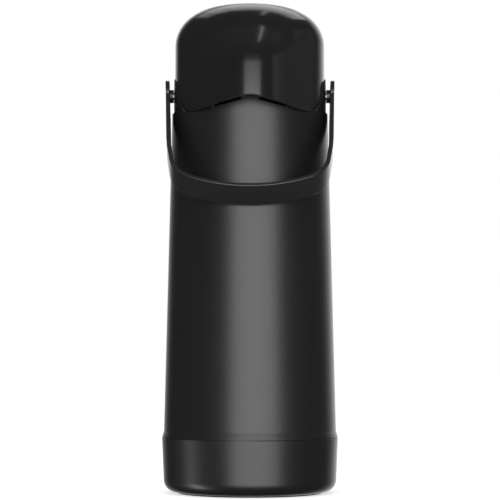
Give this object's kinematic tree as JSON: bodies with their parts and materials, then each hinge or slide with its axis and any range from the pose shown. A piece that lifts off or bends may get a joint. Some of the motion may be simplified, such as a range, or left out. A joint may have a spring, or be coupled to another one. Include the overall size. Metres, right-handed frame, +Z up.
{
  "type": "airpot",
  "caption": "Tall slim black pump pot with a glass vacuum flask, a glossy hinged pump head with a push-button crown, and a carrying bail",
  "frame": {"origin": "On the table plane under the middle of the base, on the axis of the round casing.", "axes": "+Z points up the casing, -Y points to the spout side that the picture shows, +X points to the right as seen from the spout side."},
  "size_m": [0.13, 0.1417, 0.3605],
  "materials": {
    "satin_black": "satin moulded polypropylene",
    "gloss_black": "polished",
    "handle_black": "fine satin",
    "inner_plastic": "natural moulded",
    "bellows_white": "soft moulded",
    "silicone": "smooth translucent",
    "black_rubber": "matt",
    "flask_glass": "silvered glass",
    "steel": "plain"
  },
  "bodies": {
    "pot": {"outer_casing": "satin_black", "base_cup": "satin_black", "foot_pad": "black_rubber", "flask_cushion": "black_rubber", "flask_outer": "flask_glass", "flask_inner": "flask_glass", "flask_spacers": "inner_plastic", "neck_gasket": "silicone", "neck_collar": "inner_plastic", "collar_screws": "steel", "tube_holder": "inner_plastic", "dip_tube": "inner_plastic", "handle_pins": "steel", "hinge_pin": "steel"},
    "handle": {"carry_handle": "handle_black"},
    "lid": {"lid_shell": "gloss_black", "lid_base": "inner_plastic", "lid_seal": "silicone", "lid_screws": "steel", "tube_packing": "silicone", "pump_plate": "inner_plastic", "valve_flap": "silicone", "bellows": "bellows_white", "return_spring": "steel", "spout_pipe": "inner_plastic", "nozzle": "handle_black", "latch_pin": "steel"},
    "button": {"push_button": "gloss_black", "plunger": "inner_plastic"},
    "latch": {"latch_lever": "handle_black"}
  },
  "joints": [
    {"name": "handle_swing", "type": "hinge", "parent": "pot", "child": "handle", "pos_m": [0, 0, 0.2955], "axis": [-1, 0, 0], "range_deg": [0, 139]},
    {"name": "lid_open", "type": "hinge", "parent": "pot", "child": "lid", "pos_m": [0, 0.0615, 0.281], "axis": [-1, 0, 0], "range_deg": [0, 95]},
    {"name": "button_press", "type": "slide", "parent": "lid", "child": "button", "axis": [0, 0, -1], "range_m": [0, 0.016], "stiffness_N_per_m": 500, "springref_m": -0.008, "deforming": ["bellows", "return_spring"]},
    {"name": "latch_turn", "type": "hinge", "parent": "lid", "child": "latch", "pos_m": [0, -0.055, 0.2885], "axis": [-1, 0, 0], "range_deg": [-9, 10], "stiffness_Nm_per_rad": 0.05}
  ]
}
